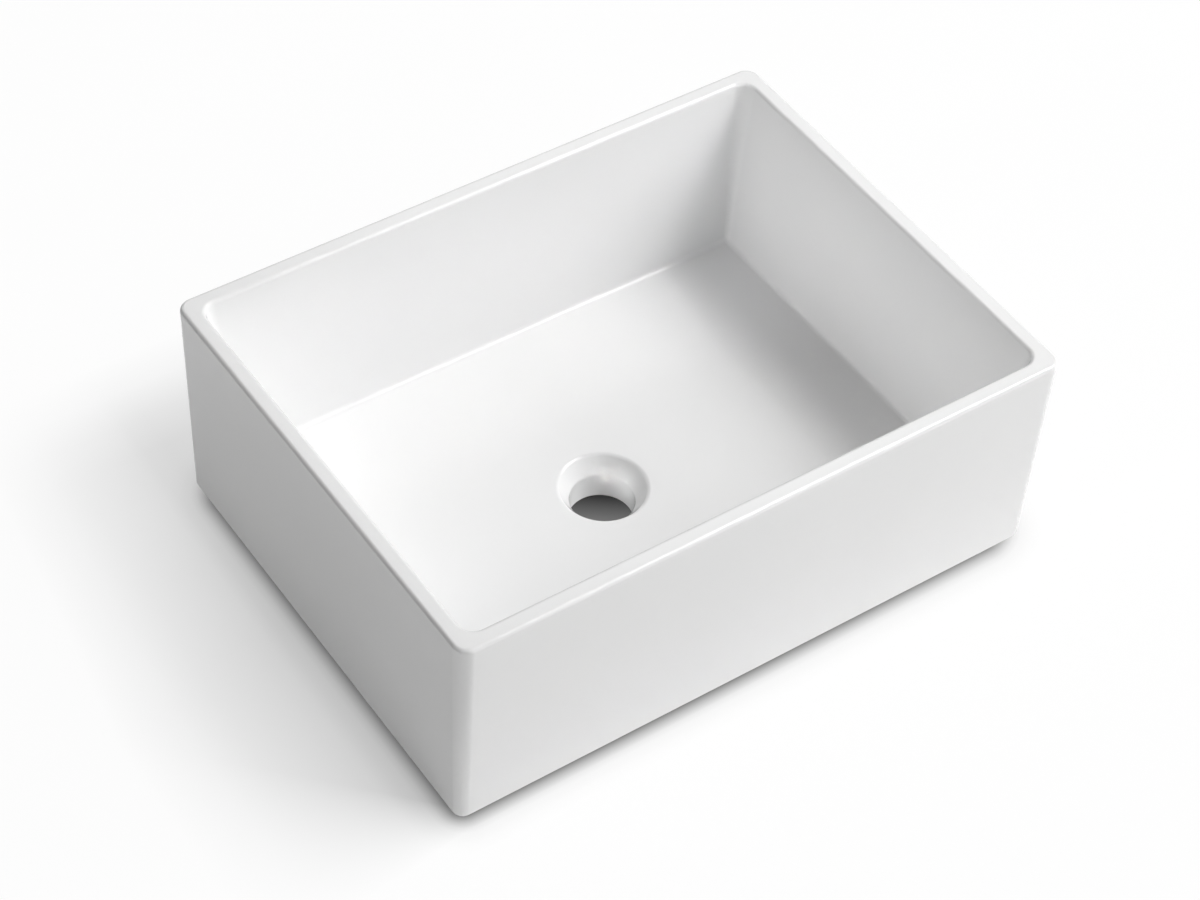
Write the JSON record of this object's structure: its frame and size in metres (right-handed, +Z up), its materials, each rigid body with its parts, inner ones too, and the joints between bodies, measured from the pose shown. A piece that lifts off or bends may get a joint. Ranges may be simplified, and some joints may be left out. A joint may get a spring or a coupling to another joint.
{
  "type": "countertop washbasin",
  "caption": "Rectangular white ceramic countertop washbasin with a thin rim, drafted bowl, open drain with conical seat, recessed underside and soft base pads.",
  "frame": {"origin": "on the surface the pads stand on, under the middle of the rim's outline", "axes": "+X along the long side, +Y along the short side away from the viewer of the picture's lit long face, +Z up"},
  "size_m": [0.4598, 0.3448, 0.168],
  "materials": {
    "white_glaze": "gloss",
    "pad_silicone": "matte"
  },
  "bodies": {
    "root": {"ceramic_basin": "white_glaze", "base_pad_front_left": "pad_silicone", "base_pad_front_right": "pad_silicone", "base_pad_back_left": "pad_silicone", "base_pad_back_right": "pad_silicone"}
  },
  "joints": []
}
